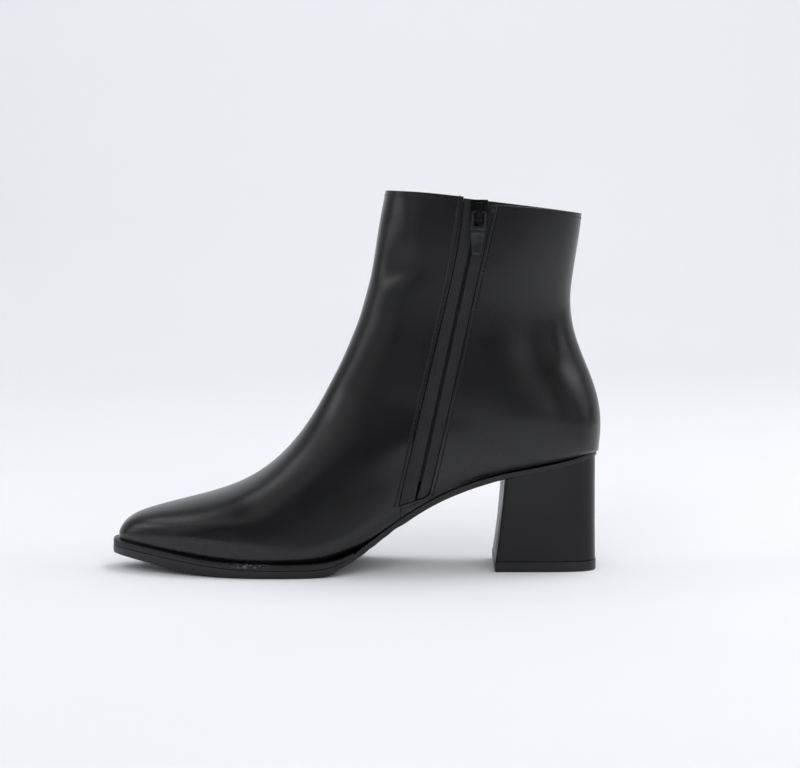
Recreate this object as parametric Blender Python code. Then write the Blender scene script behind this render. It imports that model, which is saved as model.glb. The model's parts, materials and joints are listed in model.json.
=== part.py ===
"""Ankle boot for the right foot: a leather upper with a zip on its inner side, on a thin welted
sole with a covered block heel.

The tables are in millimetres. X runs from the toe (-) to the heel (+), Y from the inner side of
the foot (-) to the outer side (+), and Z up from the floor.
"""

import math
from collections import namedtuple

import bmesh
import bpy
import numpy as np

MM = 0.001
GAP = 0.3
SHARP_DEG = 40.0
# How finely curves are followed: steps along the sole's line, steps in the search for the hinge's
# place, and the step, in mm of run and in places, that finds which way the skin faces.
SOLE_LINE_STEPS, HINGE_STEPS, NUDGE = 400, 50, 0.05
# Middle of the boot's box from above: the part's origin lies on the floor there.
MIDDLE_X, MIDDLE_Y = 0.2335, -3.450

# Upper: thickness of leather with its lining, and the grid that carries it.
WALL = 2.0
INNER, OUTER = -1, 1
FRONT_COLUMNS, BACK_COLUMNS = 9, 9
SLOT_COLUMN = FRONT_COLUMNS
LOOP_STEPS = 60
CLOSED_UNDER = 1.0
# Collar of the inner side: its height above its plane, at shares of the way from the middle of the
# front or the back (0) to the zip (1). The outer side lies in the plane.
COLLAR_SHARES = (0.0, 0.25, 0.55, 1.0)
COLLAR_FRONT_LIFTS = (0.0, 1.0, 2.3, 3.2)
COLLAR_BACK_LIFTS = (0.0, 1.2, 1.7, 0.6)

# Zip: the middle of its opening as seen from the side, and what stands in the opening.
ZIP_TOP_X, ZIP_TOP_Z = 63.4, 189.0
ZIP_END_X, ZIP_END_Z = 31.3, 40.0
ZIP_LEAN = (ZIP_TOP_X - ZIP_END_X) / (ZIP_TOP_Z - ZIP_END_Z)
ZIP_FRONT_TOP, ZIP_FRONT_END = 6.2, 8.8
ZIP_BACK_TOP, ZIP_BACK_END = 7.4, 6.6
ZIP_END_FRONT, ZIP_END_BACK = 10.95, 10.5
SOLE_TO_ZIP_FRONT, SOLE_TO_ZIP_BACK = 15.0, 10.0
BALL_PLACE, SOLE_TO_VAMP_FRONT, SOLE_TO_VAMP_BACK = 13.5, 34.0, 28.0
TOE_FRONT_SHARE, TOE_BACK_SHARE = 0.50, 0.56
FRONT_EDGE, SLIT, BACK_EDGE = 0, 1, 2
TAPE_FRONT_START, TAPE_BACK_START, TAPE_END_ROOM = -0.13, 0.0, 0.06
TAPE_DEPTH, TAPE_THICK = 0.7, 0.9
TAPE_SLIT = 1.2
TAPE_ROWS, TAPE_COLUMNS = 22, 2
CHAIN_WIDTH, CHAIN_DEPTH, CHAIN_THICK = 4.0, 1.9, 1.2
CHAIN_START, CHAIN_END, CHAIN_ROWS = 0.75, 10.2, 18

# Zip slider and its pull, which hangs from the slider's bridge.
HINGE_Z = 187.6
SLIDER_WIDTH, SLIDER_TOP, SLIDER_FOOT = 9.2, 6.2, 5.6
SLIDER_PLATE = 1.6
BRIDGE_WIDTH, BRIDGE_UP, BRIDGE_DOWN, BRIDGE_POST = 3.0, 4.9, 2.8, 1.5
BRIDGE_ROOM, BRIDGE_BAR = 2.6, 1.2
NECK_THICK, NECK_HALF, BACK_PLATE_HALF = 0.5, 3.6, 2.6
SLIDER_EDGE, SLIDER_EDGE_STEPS, JOIN_SINK = 0.5, 2, 0.4
PULL_WIDTH, PULL_END_WIDTH, PULL_LENGTH = 7.8, 5.0, 22.5
PULL_LEAN = 4.0
PULL_ARM, PULL_BAR, PULL_EYE = 1.3, 1.2, 7.0
PULL_THICK, PULL_CORNER = 1.2, 1.1

# Welt, heel and insole.
WELT_HEIGHT, WELT_WIDTH, WELT_ROUND = 2.3, 2.5, 0.7
WELT_FROM, WELT_STEPS = 10.3, 28
WELT_END_SHARE, WELT_TAPER_RINGS = 0.3, 4
ROUND_MIDDLE = 1 - math.sqrt(0.5)
HEEL_TIP_HEIGHT, HEEL_TIP_LIP, HEEL_TIP_CHAMFER = 5.3, 0.3, 0.5
INSOLE_THICK, INSOLE_LIFT = 1.6, 1.5
INSOLE_FROM, INSOLE_TO = 0.9, 21.6

# The upper's sections, from the collar round the heel to the toe. Each one lies in a plane across
# the foot, from a point on the front line to one on the back line or, past the heel corner, on the
# sole. ridge: place of the front line across the foot. inner, outer: half widths from the ridge.
# widest: share of the way down. arch: how much less of it on the inner side, over the foot's arch.
# crown, base: fullness of the front and the back or sole side (2 is an ellipse, more is squarer).
# mouth: half width of the opening underneath.
Section = namedtuple(
    "Section", "name front_x front_z low_x low_z ridge inner outer widest arch crown base mouth"
)
SECTIONS = (
    Section("collar", 14.8, 197.3, 117.3, 185.0, 0.0, 32.0, 32.0, 0.50, 0.00, 2.20, 3.20, 0),
    Section("shaft", 10.9, 178.0, 115.8, 172.0, 0.0, 32.0, 32.0, 0.50, 0.00, 2.20, 3.10, 0),
    Section("ankle_top", 8.5, 158.5, 112.8, 154.5, 0.0, 31.3, 31.5, 0.51, 0.00, 2.20, 2.75, 0),
    Section("ankle", 4.6, 142.0, 110.8, 138.0, 0.0, 30.3, 31.0, 0.52, 0.00, 2.15, 2.45, 0),
    Section("counter_top", -0.2, 128.0, 114.5, 119.5, 0.0, 30.3, 31.5, 0.53, 0.00, 2.10, 2.35, 0),
    Section("counter", -4.6, 116.5, 125.0, 97.8, -0.5, 31.7, 33.2, 0.54, 0.00, 2.10, 2.70, 0),
    Section("heel_back", -9.2, 106.5, 129.3, 79.0, -1.0, 32.8, 34.3, 0.55, 0.00, 2.05, 2.95, 0),
    Section("heel_corner", -13.8, 98.0, 126.8, 61.9, -1.0, 32.6, 34.1, 0.55, 0.00, 2.00, 3.10, -6),
    Section("seat", -18.2, 89.5, 110.0, 0, -1.5, 32.0, 33.5, 0.56, 0.03, 2.00, 5.50, 12),
    Section("seat_front", -23.0, 81.0, 84.0, 0, -2.0, 31.0, 34.0, 0.58, 0.08, 2.05, 5.50, 18),
    Section("waist_back", -28.3, 73.0, 56.0, 0, -2.5, 30.0, 35.5, 0.62, 0.18, 2.15, 5.00, 17),
    Section("waist", -35.2, 64.3, 28.0, 0, -3.0, 32.3, 38.0, 0.67, 0.20, 2.25, 5.00, 18),
    Section("waist_front", -44.6, 54.8, 0.0, 0, -3.7, 39.0, 42.5, 0.71, 0.20, 2.30, 5.40, 23),
    Section("ball", -58.0, 45.6, -28.0, 0, -4.5, 43.5, 45.0, 0.76, 0.11, 2.30, 5.80, 29),
    Section("vamp", -75.5, 39.6, -56.0, 0, -5.5, 41.0, 42.0, 0.77, 0.03, 2.28, 6.00, 27),
    Section("toe_box", -95.5, 35.0, -82.0, 0, -6.0, 32.6, 33.8, 0.75, 0.00, 2.26, 5.50, 20),
    Section("toe", -111.5, 31.0, -104.0, 0, -6.0, 22.3, 23.8, 0.72, 0.00, 2.30, 5.00, 11),
    Section("toe_nose", -122.0, 26.0, -118.3, 0, -5.3, 14.0, 14.0, 0.68, 0.00, 2.40, 4.50, -4),
    Section("toe_tip", -124.9, 19.0, -124.6, 0, -4.9, 6.3, 6.0, 0.60, 0.00, 2.20, 3.50, 0),
)
HEEL_CORNER = 7
# Rows of the grid between these places in the table: from, to, steps.
GRID_SPANS = (
    (0, 7, 14),
    (7, 9, 6),
    (9, ZIP_END_BACK, 3),
    (ZIP_END_BACK, ZIP_END_FRONT, 1),
    (ZIP_END_FRONT, 12, 3),
    (12, 16, 8),
    (16, 18, 5),
)

# The sole from the back of the heel to the toe: height of its underside, thickness, inner and
# outer edge. edge_slope: how far the underside's edge stands in from the top edge.
# insole_in: how far the insole's edge stands in from the sole's.
Sole = namedtuple("Sole", "x under thick inner outer edge_slope insole_in")
SOLE = (
    Sole(125.6, 59.5, 1.2, -5.5, 5.5, 0.1, 5.0),
    Sole(123.8, 59.1, 1.2, -13.5, 13.5, 0.1, 7.2),
    Sole(117.4, 57.5, 1.2, -20.7, 20.7, 0.1, 8.4),
    Sole(106.0, 54.9, 1.2, -25.6, 25.6, 0.1, 9.4),
    Sole(92.0, 52.2, 1.2, -27.0, 27.0, 0.1, 9.2),
    Sole(76.0, 49.0, 1.6, -26.5, 27.0, 0.3, 9.0),
    Sole(60.0, 43.8, 2.1, -24.5, 26.5, 0.5, 8.8),
    Sole(44.0, 37.3, 2.2, -23.5, 27.0, 0.6, 8.5),
    Sole(28.0, 28.2, 2.6, -25.0, 28.5, 0.7, 8.5),
    Sole(14.0, 17.2, 3.1, -29.0, 32.0, 1.0, 9.3),
    Sole(2.0, 8.4, 3.8, -37.0, 37.5, 1.6, 13.0),
    Sole(-8.0, 2.2, 4.2, -42.8, 41.0, 1.8, 15.2),
    Sole(-17.0, 0.1, 4.2, -45.8, 41.8, 1.8, 14.2),
    Sole(-26.0, 0.0, 4.2, -47.8, 42.0, 1.8, 13.0),
    Sole(-34.0, 0.0, 4.2, -48.7, 41.7, 1.8, 12.0),
    Sole(-42.0, 0.0, 4.2, -48.9, 41.0, 1.8, 12.0),
    Sole(-50.0, 0.0, 4.3, -48.6, 39.8, 1.8, 12.0),
    Sole(-58.0, 0.0, 4.4, -47.7, 38.0, 1.8, 12.0),
    Sole(-68.0, 0.3, 4.6, -45.9, 35.5, 1.8, 12.0),
    Sole(-82.0, 1.4, 4.9, -41.5, 31.0, 1.9, 12.0),
    Sole(-98.0, 3.7, 5.1, -34.8, 24.4, 2.0, 11.5),
    Sole(-111.0, 6.0, 4.8, -28.0, 17.6, 2.0, 11.0),
    Sole(-120.5, 7.6, 4.3, -21.3, 11.0, 2.0, 10.0),
    Sole(-126.2, 8.4, 4.2, -15.5, 5.3, 2.0, 10.0),
    Sole(-127.7, 8.7, 4.2, -10.5, 0.5, 1.8, 10.0),
)
SOLE_STEPS = 2
SOLE_ACROSS = 4

# The heel block, from the tip up to the seat. share: how far up. breast: its front face.
# back: its back. half: half width. square: fullness of its plan (2 is an ellipse).
Heel = namedtuple("Heel", "share breast back half square")
HEEL = (
    Heel(0.00, 72.2, 125.2, 24.4, 5.0),
    Heel(0.30, 74.1, 125.0, 24.2, 4.6),
    Heel(0.60, 75.4, 125.0, 24.4, 4.0),
    Heel(0.85, 76.3, 125.1, 25.3, 3.4),
    Heel(1.00, 76.8, 125.3, 26.3, 3.0),
)
HEEL_LEVELS, HEEL_SIDE_STEPS = 9, 12

Finish = namedtuple("Finish", "name colour roughness metallic")
LEATHER = Finish("black_leather", (0.017, 0.017, 0.019), 0.38, 0.0)
RUBBER = Finish("black_rubber", (0.014, 0.015, 0.016), 0.50, 0.0)
WOVEN = Finish("zip_tape", (0.030, 0.030, 0.033), 0.60, 0.0)
METAL = Finish("black_metal", (0.022, 0.023, 0.025), 0.35, 0.8)
SOCK = Finish("sock", (0.024, 0.023, 0.022), 0.70, 0.0)


def clear_scene():
    for obj in list(bpy.data.objects):
        bpy.data.objects.remove(obj)


def material_of(finish):
    """A plain material of one colour."""
    material = bpy.data.materials.new(finish.name)
    material.use_nodes = True
    shader = material.node_tree.nodes["Principled BSDF"]
    shader.inputs["Base Color"].default_value = (*finish.colour, 1.0)
    shader.inputs["Roughness"].default_value = finish.roughness
    shader.inputs["Metallic"].default_value = finish.metallic
    return material


def bspline(values, place):
    """A cubic B-spline with one control value at each whole place, held at both ends."""
    held = [2 * values[0] - values[1], *values, 2 * values[-1] - values[-2]]
    first = min(int(place), len(values) - 2)
    f = place - first
    weights = ((1 - f) ** 3, 3 * f**3 - 6 * f**2 + 4, -3 * f**3 + 3 * f**2 + 3 * f + 1, f**3)
    return sum(w * v for w, v in zip(weights, held[first : first + 4])) / 6


def sole_at(place):
    """The sole table's row at a place between its rows."""
    return Sole(*(bspline(column, place) for column in zip(*SOLE)))


SOLE_LINE = [sole_at(place) for place in np.linspace(len(SOLE) - 1, 0, SOLE_LINE_STEPS)]
SOLE_LINE_X = [row.x for row in SOLE_LINE]


def sole_under(x):
    return np.interp(x, SOLE_LINE_X, [row.under for row in SOLE_LINE])


def sole_top(x):
    return np.interp(x, SOLE_LINE_X, [row.under + row.thick for row in SOLE_LINE])


def section_at(place):
    """The section table's row at a place between its rows."""
    row = Section("between", *(bspline(column, place) for column in list(zip(*SECTIONS))[1:]))
    if place <= HEEL_CORNER:
        back = SECTIONS[: HEEL_CORNER + 1]
        low_x = bspline([s.low_x for s in back], place)
        low_z = bspline([s.low_z for s in back], place)
    else:
        under = SECTIONS[HEEL_CORNER:]
        low_x = bspline([s.low_x for s in under], place - HEEL_CORNER)
        low_z = sole_top(low_x) + GAP
    return row._replace(low_x=low_x, low_z=low_z)


def half_loop(place, side):
    """One side of a section, from the front line down: points, run in mm, and run where it ends."""
    section = section_at(place)
    half = section.inner if side == INNER else section.outer
    widest = section.widest - (section.arch if side == INNER else 0)
    turn = np.linspace(0, math.pi / 2, LOOP_STEPS)
    rise = 1 - np.cos(turn) ** (2 / section.crown)
    fall = np.sin(turn[1:]) ** (2 / section.base)
    down = np.concatenate((widest * rise, widest + (1 - widest) * fall))
    out = np.concatenate(
        (np.sin(turn) ** (2 / section.crown), np.cos(turn[1:]) ** (2 / section.base))
    )
    points = np.column_stack(
        (
            section.front_x + down * (section.low_x - section.front_x),
            section.ridge + side * half * out,
            section.front_z + down * (section.low_z - section.front_z),
        )
    )
    steps = np.linalg.norm(np.diff(points, axis=0), axis=1)
    run = np.concatenate(([0.0], np.cumsum(steps)))
    end = run[-1]
    if section.mouth >= CLOSED_UNDER:
        end = np.interp(-section.mouth / half, -out[LOOP_STEPS:], run[LOOP_STEPS:])
    return points, run, end


def zip_middle(z):
    """Where the middle of the zip's opening lies along the foot at a height."""
    return ZIP_END_X + ZIP_LEAN * (z - ZIP_END_Z)


def zip_edges(place, side):
    """Runs down a section to the front edge, the slit and the back edge of the zip's opening."""
    points, run, end = half_loop(place, side)
    heights = (ZIP_END_Z, ZIP_TOP_Z)
    past_middle = points[:, 0] - zip_middle(points[:, 2])
    front_half = np.interp(points[:, 2], heights, (ZIP_FRONT_END, ZIP_FRONT_TOP))
    back_half = np.interp(points[:, 2], heights, (ZIP_BACK_END, ZIP_BACK_TOP))
    front_room = np.interp(
        place, (ZIP_END_FRONT, BALL_PLACE), (SOLE_TO_ZIP_FRONT, SOLE_TO_VAMP_FRONT)
    )
    back_room = np.interp(place, (ZIP_END_BACK, BALL_PLACE), (SOLE_TO_ZIP_BACK, SOLE_TO_VAMP_BACK))
    front_most = max(end - front_room, TOE_FRONT_SHARE * end)
    back_most = max(end - back_room, TOE_BACK_SHARE * end)
    front = min(np.interp(0, past_middle + front_half, run), front_most)
    back = min(np.interp(0, past_middle - back_half, run), back_most)
    slit = min(max(np.interp(0, past_middle, run), front), back)
    return front, slit, back


def skin_point(place, side, along):
    """A point on the upper's outside, at a run down a section."""
    points, run, _ = half_loop(place, side)
    return np.array([np.interp(along, run, points[:, axis]) for axis in range(3)])


def under_skin(place, side, along, depth):
    """A point at a depth under the upper's outside."""
    here = skin_point(place, side, along)
    down = skin_point(place, side, along + NUDGE) - here
    on = skin_point(place + NUDGE, side, along) - here
    normal = np.cross(down, on) * side
    return here - depth * normal / np.linalg.norm(normal)


def solid(name, points, faces, material):
    """An object from points in mm, with its faces turned outwards and shaded smooth."""
    mesh = bpy.data.meshes.new(name)
    mesh.from_pydata([tuple(float(c) * MM for c in point) for point in points], [], faces)
    obj = bpy.data.objects.new(name, mesh)
    bpy.context.scene.collection.objects.link(obj)
    shaped = bmesh.new()
    shaped.from_mesh(mesh)
    bmesh.ops.recalc_face_normals(shaped, faces=shaped.faces)
    shaped.to_mesh(mesh)
    shaped.free()
    mesh.materials.append(material)
    mesh.shade_smooth()
    mesh.set_sharp_from_angle(angle=math.radians(SHARP_DEG))
    return obj


def ring_solid(name, rings, material):
    """A closed solid through rings of equally many points, with a ladder of faces over each end.

    Each ring runs down one side and back up the other, so that point k and the k-th point from
    its end lie across from each other.
    """
    count = len(rings[0])
    points = [point for ring in rings for point in ring]
    faces = []
    for r in range(len(rings) - 1):
        for k in range(count):
            after = (k + 1) % count
            faces.append(
                (r * count + k, r * count + after, (r + 1) * count + after, (r + 1) * count + k)
            )
    for start in (0, (len(rings) - 1) * count):
        for k in range(count // 2 - 1):
            across = count - 1 - k
            faces.append((start + k, start + k + 1, start + across - 1, start + across))
    return solid(name, points, faces, material)


def slab_solid(name, front, back, material):
    """A closed solid between two grids of points, one behind the other."""
    rows, columns = len(front), len(front[0])
    points = [point for grid in (front, back) for row in grid for point in row]

    def index(layer, r, c):
        return (layer * rows + r) * columns + c

    faces = []
    for layer in (0, 1):
        for r in range(rows - 1):
            for c in range(columns - 1):
                faces.append(
                    (
                        index(layer, r, c),
                        index(layer, r, c + 1),
                        index(layer, r + 1, c + 1),
                        index(layer, r + 1, c),
                    )
                )
    edge = [(0, c) for c in range(columns)]
    edge += [(r, columns - 1) for r in range(1, rows)]
    edge += [(rows - 1, c) for c in reversed(range(columns - 1))]
    edge += [(r, 0) for r in reversed(range(1, rows - 1))]
    for here, after in zip(edge, edge[1:] + edge[:1]):
        faces.append((index(0, *here), index(0, *after), index(1, *after), index(1, *here)))
    return solid(name, points, faces, material)


def box(name, low, high, material, lean=0.0):
    """A box between two corners in mm. lean: how far x moves with each mm of height."""
    corners = [
        (x + lean * (z - (low[2] + high[2]) / 2), y, z)
        for x in (low[0], high[0])
        for y in (low[1], high[1])
        for z in (low[2], high[2])
    ]
    faces = [(0, 1, 3, 2), (4, 6, 7, 5), (0, 4, 5, 1), (2, 3, 7, 6), (0, 2, 6, 4), (1, 5, 7, 3)]
    return solid(name, corners, faces, material)


def join(base, others):
    """Joins helper solids to a base one."""
    for other in others:
        other.hide_render = True
        other.display_type = "WIRE"
        union = base.modifiers.new(other.name, "BOOLEAN")
        union.operation = "UNION"
        union.object = other


def column_runs(place, side):
    """Runs down a section to the grid's columns: to the zip, across it, and on to the end."""
    front, _, back = zip_edges(place, side)
    end = half_loop(place, side)[2]
    return np.concatenate(
        (
            np.linspace(0, front, FRONT_COLUMNS + 1),
            np.linspace(back, end, BACK_COLUMNS + 1),
        )
    )


def collar_lift(side, column):
    """Height of the collar above its plane: the two quarters differ where the zip parts them."""
    if side == OUTER:
        return 0.0
    if column <= FRONT_COLUMNS:
        return np.interp(column / FRONT_COLUMNS, COLLAR_SHARES, COLLAR_FRONT_LIFTS)
    share = 1 - (column - FRONT_COLUMNS - 1) / BACK_COLUMNS
    return np.interp(share, COLLAR_SHARES, COLLAR_BACK_LIFTS)


def make_upper(material):
    """The upper: one wall, open at the collar, along the zip and underneath."""
    places = [0.0]
    for start, stop, steps in GRID_SPANS:
        places += list(np.linspace(start, stop, steps + 1)[1:])
    last_column = FRONT_COLUMNS + BACK_COLUMNS + 1
    points, index = [], {}
    for r, place in enumerate(places):
        closed = section_at(place).mouth < CLOSED_UNDER
        for side in (INNER, OUTER):
            for c, along in enumerate(column_runs(place, side)):
                if side == OUTER and (c == 0 or (c == last_column and closed)):
                    index[r, side, c] = index[r, INNER, c]
                    continue
                index[r, side, c] = len(points)
                points.append(skin_point(place, side, along))
                if r == 0:
                    points[-1][2] += collar_lift(side, c)
    faces = []
    for r in range(len(places) - 1):
        for side in (INNER, OUTER):
            for c in range(last_column):
                corners = [(r, c), (r, c + 1), (r + 1, c + 1), (r + 1, c)]
                if side == INNER and c == SLOT_COLUMN:
                    if places[r + 1] <= ZIP_END_BACK:
                        continue
                    if places[r] < ZIP_END_FRONT:
                        corners = corners[1:]
                ids = [index[row, side, column] for row, column in corners]
                faces.append(ids if side == OUTER else ids[::-1])
    tip = len(places) - 1
    for c in range(last_column):
        corners = ((INNER, c), (OUTER, c), (OUTER, c + 1), (INNER, c + 1))
        ids = [index[tip, side, column] for side, column in corners]
        faces.append(list(dict.fromkeys(ids)))
    upper = solid("upper", points, faces, material)
    wall = upper.modifiers.new("wall", "SOLIDIFY")
    wall.thickness = WALL * MM
    wall.offset = -1
    wall.use_even_offset = True


def sole_ring(row, low, high, slope, inset):
    """A ring across the sole: down the outer side of the foot, back along the underside."""
    inner, outer = row.inner + inset, row.outer - inset
    middle = (low + high) / 2
    across = np.linspace(0, 1, SOLE_ACROSS + 1)
    top = [(row.x, inner + (outer - inner) * f, high) for f in across]
    under_inner, under_outer = inner + slope, outer - slope
    under = [(row.x, under_outer + (under_inner - under_outer) * f, low) for f in across]
    bulge = slope / 3
    return [*top, (row.x, outer - bulge, middle), *under, (row.x, inner + bulge, middle)]


def turned(ring):
    """The ring started again so that its ends lie across from each other."""
    return [ring[-1], *ring[:-1]]


def make_outsole(material):
    rings = []
    for place in np.linspace(0, len(SOLE) - 1, SOLE_STEPS * (len(SOLE) - 1) + 1):
        row = sole_at(place)
        rings.append(turned(sole_ring(row, row.under, row.under + row.thick, row.edge_slope, 0)))
    ring_solid("outsole", rings, material)


def make_insole(material):
    rings = []
    for place in np.linspace(INSOLE_FROM, INSOLE_TO, len(SOLE)):
        row = sole_at(place)
        low = row.under + row.thick + GAP + WALL + INSOLE_LIFT
        rings.append(turned(sole_ring(row, low, low + INSOLE_THICK, 0.0, row.insole_in)))
    ring_solid("insole", rings, material)


def welt_path():
    """The sole's edge from the inner waist round the toe to the outer waist, with its height."""
    rows = [sole_at(place) for place in np.linspace(WELT_FROM, len(SOLE) - 1, WELT_STEPS)]
    inner = [(row.x, row.inner, row.under + row.thick) for row in rows]
    outer = [(row.x, row.outer, row.under + row.thick) for row in reversed(rows)]
    return np.array(inner + outer)


def make_welt(material):
    path = welt_path()
    ahead = np.gradient(path[:, :2], axis=0)
    ahead /= np.linalg.norm(ahead, axis=1)[:, None]
    outward = np.column_stack((ahead[:, 1], -ahead[:, 0]))
    if outward[0, 1] > 0:
        outward = -outward
    rings = []
    for k, (x, y, top) in enumerate(path):
        from_end = min(k, len(path) - 1 - k)
        share = min(1.0, WELT_END_SHARE + from_end / WELT_TAPER_RINGS)
        low, high = top + GAP, top + GAP + WELT_HEIGHT * share
        corner = WELT_ROUND * share
        profile = (
            (-WELT_WIDTH * share, low),
            (-WELT_WIDTH * share, high),
            (-corner, high),
            (-corner * ROUND_MIDDLE, high - corner * ROUND_MIDDLE),
            (0.0, high - corner),
            (0.0, low),
        )
        rings.append(
            [(x + outward[k, 0] * reach, y + outward[k, 1] * reach, z) for reach, z in profile]
        )
    ring_solid("welt", rings, material)


def heel_ring(breast, back, half, square):
    """Points round the heel's plan: the inner side from breast to back, then the outer one."""
    turn = np.linspace(0, math.pi / 2, HEEL_SIDE_STEPS, endpoint=False)
    x = breast + (back - breast) * np.sin(turn) ** (2 / square)
    y = half * np.cos(turn) ** (2 / square)
    inner = list(zip(x, -y))
    return inner + [(px, -py) for px, py in reversed(inner)]


def heel_at(share):
    """The heel table's row at a height between its rows."""
    place = np.interp(share, [row.share for row in HEEL], range(len(HEEL)))
    return Heel(share, *(bspline(column, place) for column in list(zip(*HEEL))[1:]))


def make_heel(material):
    rings = []
    foot = HEEL_TIP_HEIGHT + GAP
    for share in np.linspace(0, 1, HEEL_LEVELS):
        row = heel_at(share)
        ring = heel_ring(row.breast, row.back, row.half, row.square)
        rings.append([(x, y, foot + share * (sole_under(x) - GAP - foot)) for x, y in ring])
    ring_solid("heel_block", rings, material)


def make_heel_tip(material):
    row = heel_at(0)
    levels = (
        (0.0, HEEL_TIP_LIP - HEEL_TIP_CHAMFER),
        (HEEL_TIP_CHAMFER, HEEL_TIP_LIP),
        (HEEL_TIP_HEIGHT, HEEL_TIP_LIP),
    )
    rings = []
    for z, lip in levels:
        ring = heel_ring(row.breast - lip, row.back + lip, row.half + lip, row.square)
        rings.append([(x, y, z) for x, y in ring])
    ring_solid("heel_tip", rings, material)


def make_tape(name, edge, top, room, material):
    """One zip tape between an edge of the opening and the slit. edge: 0 is front, 2 is back."""
    grids = [[], []]
    end_at = (ZIP_END_FRONT, (ZIP_END_FRONT + ZIP_END_BACK) / 2, ZIP_END_BACK)
    for step in np.linspace(0, 1, TAPE_ROWS + 1):
        for grid, depth in zip(grids, (TAPE_DEPTH, TAPE_DEPTH + TAPE_THICK)):
            row = []
            for f in np.linspace(0, 1, TAPE_COLUMNS + 1):
                end = end_at[edge] + f * (end_at[SLIT] - end_at[edge]) - TAPE_END_ROOM
                place = top + step * (end - top)
                edges = zip_edges(place, INNER)
                start, stop = edges[edge] + room, edges[SLIT] - room / GAP * TAPE_SLIT / 2
                row.append(under_skin(place, INNER, start + f * (stop - start), depth))
            grid.append(row)
    slab_solid(name, *grids, material)


def make_chain(material):
    """The closed coil behind the slit between the two tapes."""
    grids = [[], []]
    for place in np.linspace(CHAIN_START, CHAIN_END, CHAIN_ROWS + 1):
        middle = zip_edges(place, INNER)[SLIT]
        for grid, depth in zip(grids, (CHAIN_DEPTH, CHAIN_DEPTH + CHAIN_THICK)):
            reaches = (-CHAIN_WIDTH / 2, CHAIN_WIDTH / 2)
            grid.append([under_skin(place, INNER, middle + reach, depth) for reach in reaches])
    slab_solid("zip_chain", *grids, material)


def hinge_point():
    """Middle of the pull's bar, in the slider's bridge."""
    places = np.linspace(0, 1, HINGE_STEPS)
    slits = [zip_edges(place, INNER)[SLIT] for place in places]
    heights = [skin_point(place, INNER, slit)[2] for place, slit in zip(places, slits)]
    place = np.interp(-HINGE_Z, np.negative(heights), places)
    tape = under_skin(place, INNER, zip_edges(place, INNER)[SLIT], TAPE_DEPTH)
    out = tape[1] - GAP - SLIDER_PLATE - BRIDGE_ROOM / 2
    return np.array([zip_middle(HINGE_Z), out, HINGE_Z])


def make_slider(hinge, material):
    """The slider: a plate on the tapes, a bridge over the pull's bar, and a plate behind."""
    x, y, z = hinge
    plate_face = y + BRIDGE_ROOM / 2
    plate_back = plate_face + SLIDER_PLATE
    half = SLIDER_WIDTH / 2
    slider = box(
        "zip_slider",
        (x - half, plate_face, z - SLIDER_FOOT),
        (x + half, plate_back, z + SLIDER_TOP),
        material,
    )
    edges = slider.modifiers.new("edges", "BEVEL")
    edges.width = SLIDER_EDGE * MM
    edges.segments = SLIDER_EDGE_STEPS
    bridge_half = BRIDGE_WIDTH / 2
    bar_face = y - BRIDGE_ROOM / 2
    posts = [
        box(
            "bridge_post",
            (x - bridge_half, bar_face - JOIN_SINK, z + start),
            (x + bridge_half, plate_face + JOIN_SINK, z + start + BRIDGE_POST),
            material,
        )
        for start in (-BRIDGE_DOWN, BRIDGE_UP - BRIDGE_POST)
    ]
    bar = box(
        "bridge_bar",
        (x - bridge_half, bar_face - BRIDGE_BAR, z - BRIDGE_DOWN),
        (x + bridge_half, bar_face, z + BRIDGE_UP),
        material,
    )
    inside = plate_back + GAP + TAPE_THICK + 2 * GAP
    neck = box(
        "neck",
        (x - NECK_THICK / 2, plate_back - JOIN_SINK, z - NECK_HALF),
        (x + NECK_THICK / 2, inside + JOIN_SINK, z + NECK_HALF),
        material,
        ZIP_LEAN,
    )
    back_plate = box(
        "back_plate",
        (x - BACK_PLATE_HALF, inside, z - NECK_HALF),
        (x + BACK_PLATE_HALF, inside + SLIDER_PLATE, z + NECK_HALF),
        material,
        ZIP_LEAN,
    )
    join(slider, [*posts, bar, neck, back_plate])


def make_pull(hinge, material):
    """The pull: a plate with an eye for the bridge, hanging by the bar across its top."""
    half, end_half = PULL_WIDTH / 2, PULL_END_WIDTH / 2
    top, foot = PULL_BAR / 2, PULL_BAR / 2 - PULL_LENGTH
    eye_half, eye_top, eye_foot = half - PULL_ARM, -PULL_BAR / 2, -PULL_BAR / 2 - PULL_EYE
    corner = PULL_CORNER
    outline = (
        (-half + corner, top),
        (-half, top - corner),
        (-half, eye_foot - PULL_BAR),
        (-end_half, foot + corner),
        (-end_half + corner, foot),
        (end_half - corner, foot),
        (end_half, foot + corner),
        (half, eye_foot - PULL_BAR),
        (half, top - corner),
        (half - corner, top),
    )
    eye = (
        (-eye_half, eye_top),
        (eye_half, eye_top),
        (eye_half, eye_foot + corner),
        (eye_half - corner, eye_foot),
        (-eye_half + corner, eye_foot),
        (-eye_half, eye_foot + corner),
    )
    curve = bpy.data.curves.new("zip_pull", "CURVE")
    curve.dimensions = "2D"
    curve.fill_mode = "BOTH"
    curve.extrude = PULL_THICK / 2 * MM
    for ring in (outline, eye):
        spline = curve.splines.new("POLY")
        spline.points.add(len(ring) - 1)
        for point, (across, up) in zip(spline.points, ring):
            point.co = (across * MM, up * MM, 0.0, 1.0)
        spline.use_cyclic_u = True
    curve.materials.append(material)
    pull = bpy.data.objects.new("zip_pull", curve)
    pull.location = [float(c) * MM for c in hinge]
    pull.rotation_euler = (math.radians(90), math.radians(PULL_LEAN), 0.0)
    bpy.context.scene.collection.objects.link(pull)


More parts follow.
